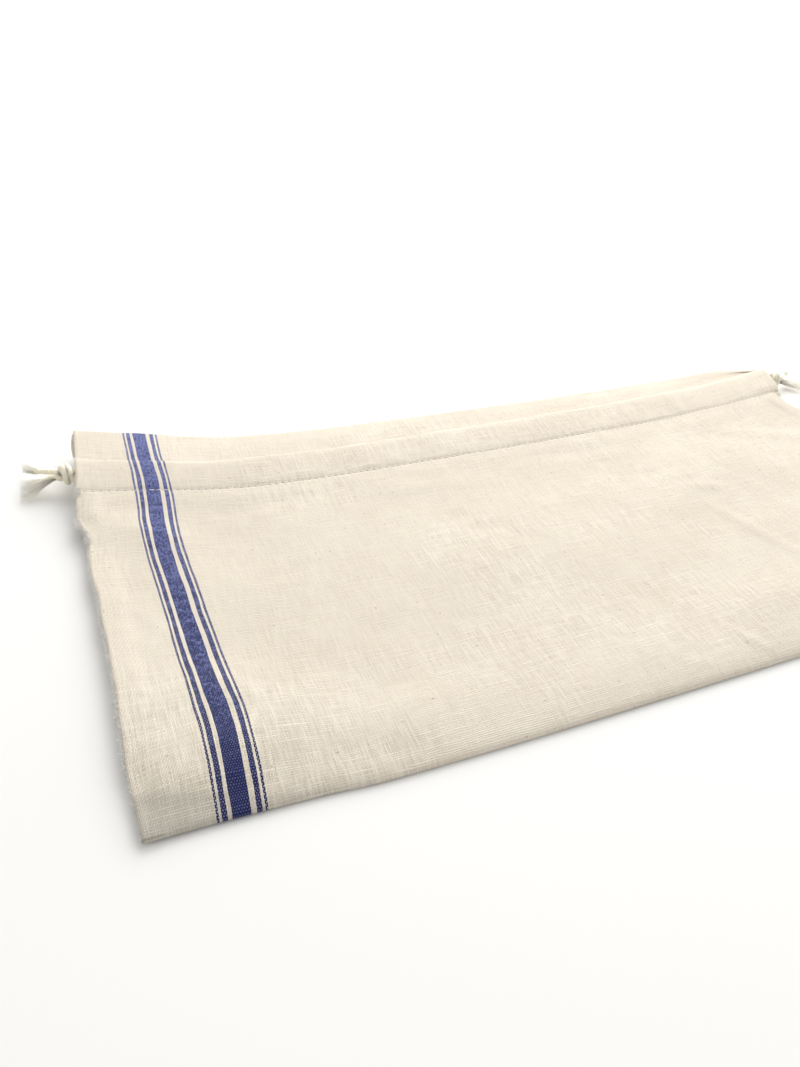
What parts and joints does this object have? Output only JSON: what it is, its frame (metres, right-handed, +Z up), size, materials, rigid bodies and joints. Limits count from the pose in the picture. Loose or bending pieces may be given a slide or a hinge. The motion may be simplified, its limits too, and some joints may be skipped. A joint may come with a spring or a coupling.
{
  "type": "linen drawstring bread bag",
  "caption": "Flat linen drawstring bag for a loaf, with a folded bottom, a stitched header and casing at the mouth, side slits and knotted cotton drawcords.",
  "frame": {"origin": "centre of the bag's flat underside, on the surface that it lies on", "axes": "+X across the bag from its left side to its right, +Y from the bottom fold to the lip, +Z up out of the front"},
  "size_m": [0.5275, 0.281, 0.0177],
  "materials": {
    "linen": "matt plain weave, unbleached, with a blue woven stripe near the left side",
    "cotton_cord": "matt twisted cotton"
  },
  "bodies": {
    "root": {"bag_cloth": "linen", "drawcord_left": "cotton_cord", "drawcord_right": "cotton_cord"}
  },
  "joints": []
}
